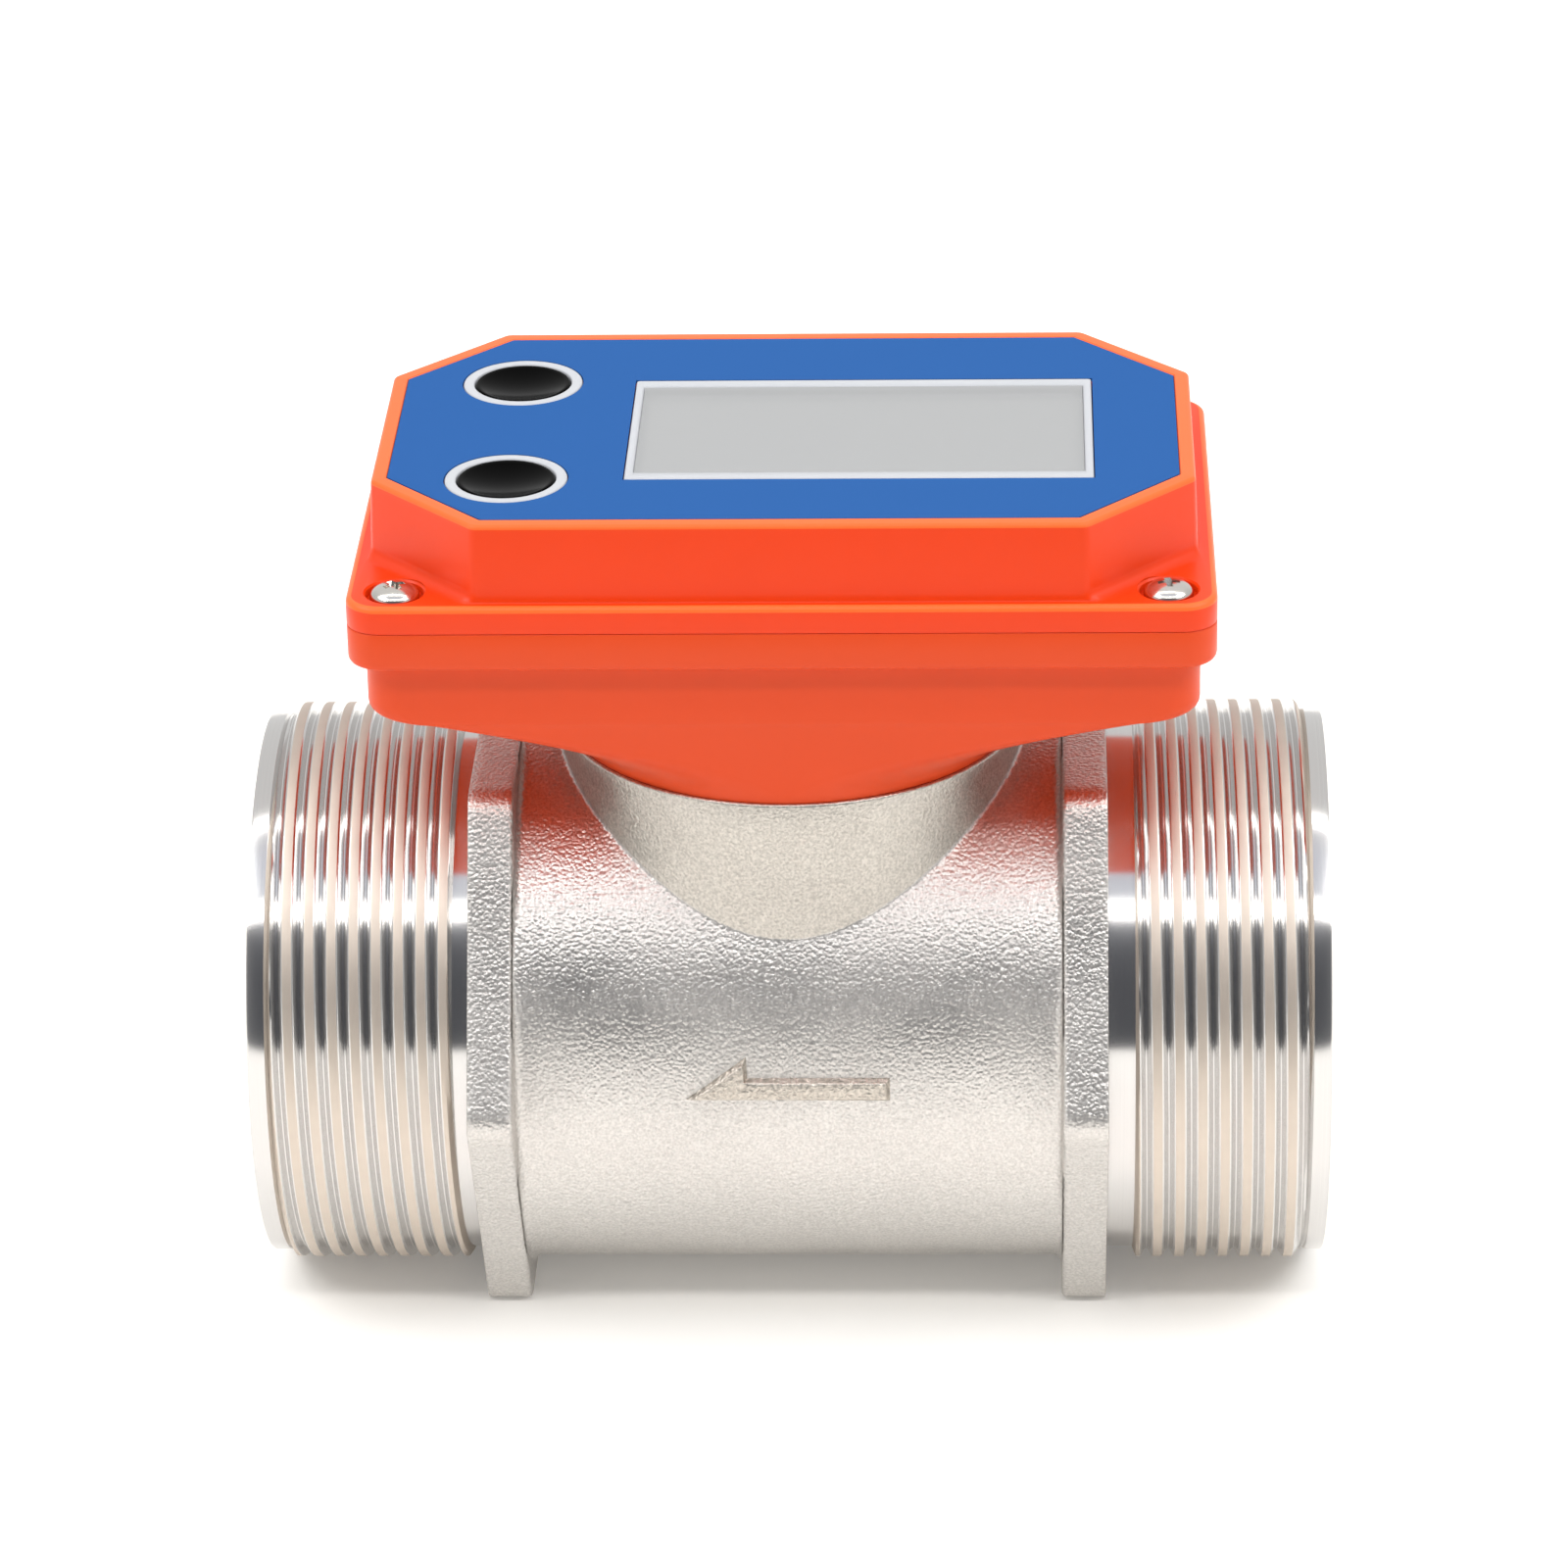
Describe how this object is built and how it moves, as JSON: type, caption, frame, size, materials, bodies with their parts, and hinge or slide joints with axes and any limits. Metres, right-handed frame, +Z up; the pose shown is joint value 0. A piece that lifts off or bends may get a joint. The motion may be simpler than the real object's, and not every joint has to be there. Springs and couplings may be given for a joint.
{
  "type": "turbine flow meter",
  "caption": "Inline turbine flow meter: threaded cast pipe body, spinning bladed rotor in the bore, battery display head with push buttons on top.",
  "frame": {"origin": "on the resting surface, below the middle of the pipe", "axes": "+X along the pipe towards the inlet, +Z up through the display head, the flow arrow is on the -Y side and points to -X"},
  "size_m": [0.112, 0.0684, 0.0951],
  "materials": {
    "cast_stainless": "investment cast, ends turned",
    "support_plastic": "moulded acetal",
    "spring_steel": "rolled spring steel",
    "bearing_ceramic": "ground ceramic",
    "washer_plastic": "moulded",
    "rotor_plastic": "moulded acetal",
    "ground_steel": "ground",
    "magnet": "nickel plated",
    "orange_plastic": "moulded ABS, satin",
    "seal_rubber": "moulded",
    "screw_steel": "bright stainless",
    "label_blue": "printed film",
    "light_trim": "moulded",
    "window_clear": "clear polycarbonate",
    "lcd_grey": "reflective display",
    "white_plastic": "moulded",
    "circuit_board": "solder mask",
    "chip_black": "moulded epoxy",
    "tray_black": "moulded",
    "cell_wrap": "plain wrap",
    "button_black": "glossy cap"
  },
  "bodies": {
    "housing": {"flow_body": "cast_stainless", "inlet_support": "support_plastic", "outlet_support": "support_plastic", "inlet_snap_ring": "spring_steel", "outlet_snap_ring": "spring_steel", "inlet_bearing": "bearing_ceramic", "outlet_bearing": "bearing_ceramic", "base_housing": "orange_plastic", "foot_seal": "seal_rubber", "foot_screws": "screw_steel", "lid_gasket": "seal_rubber", "lid": "orange_plastic", "lid_screws": "screw_steel", "face_label": "label_blue", "window_frame": "light_trim", "display_window": "window_clear", "lcd_panel": "lcd_grey", "lcd_holder": "white_plastic", "main_board": "circuit_board", "board_chips": "chip_black", "board_screws": "screw_steel", "sensor_capsule": "white_plastic", "sensor_board": "circuit_board", "hall_sensor": "chip_black", "sensor_header": "chip_black", "battery_tray": "tray_black", "battery_cells": "cell_wrap", "battery_contacts": "spring_steel", "tray_screws": "screw_steel", "set_button_ring": "light_trim", "clear_button_ring": "light_trim", "set_switch": "chip_black", "clear_switch": "chip_black"},
    "turbine": {"rotor": "rotor_plastic", "rotor_shaft": "ground_steel", "rotor_magnets": "magnet", "inlet_thrust_washer": "washer_plastic", "outlet_thrust_washer": "washer_plastic"},
    "set_key": {"set_button": "button_black", "set_plunger": "white_plastic"},
    "clear_key": {"clear_button": "button_black", "clear_plunger": "white_plastic"}
  },
  "joints": [
    {"name": "rotor_spin", "type": "hinge", "parent": "housing", "child": "turbine", "pos_m": [0, 0, 0.03], "axis": [1, 0, 0], "continuous": true},
    {"name": "set_press", "type": "slide", "parent": "housing", "child": "set_key", "axis": [0, 0, -1], "range_m": [0, 0.0007], "stiffness_N_per_m": 600, "springref_m": -0.0005},
    {"name": "clear_press", "type": "slide", "parent": "housing", "child": "clear_key", "axis": [0, 0, -1], "range_m": [0, 0.0007], "stiffness_N_per_m": 600, "springref_m": -0.0005}
  ]
}
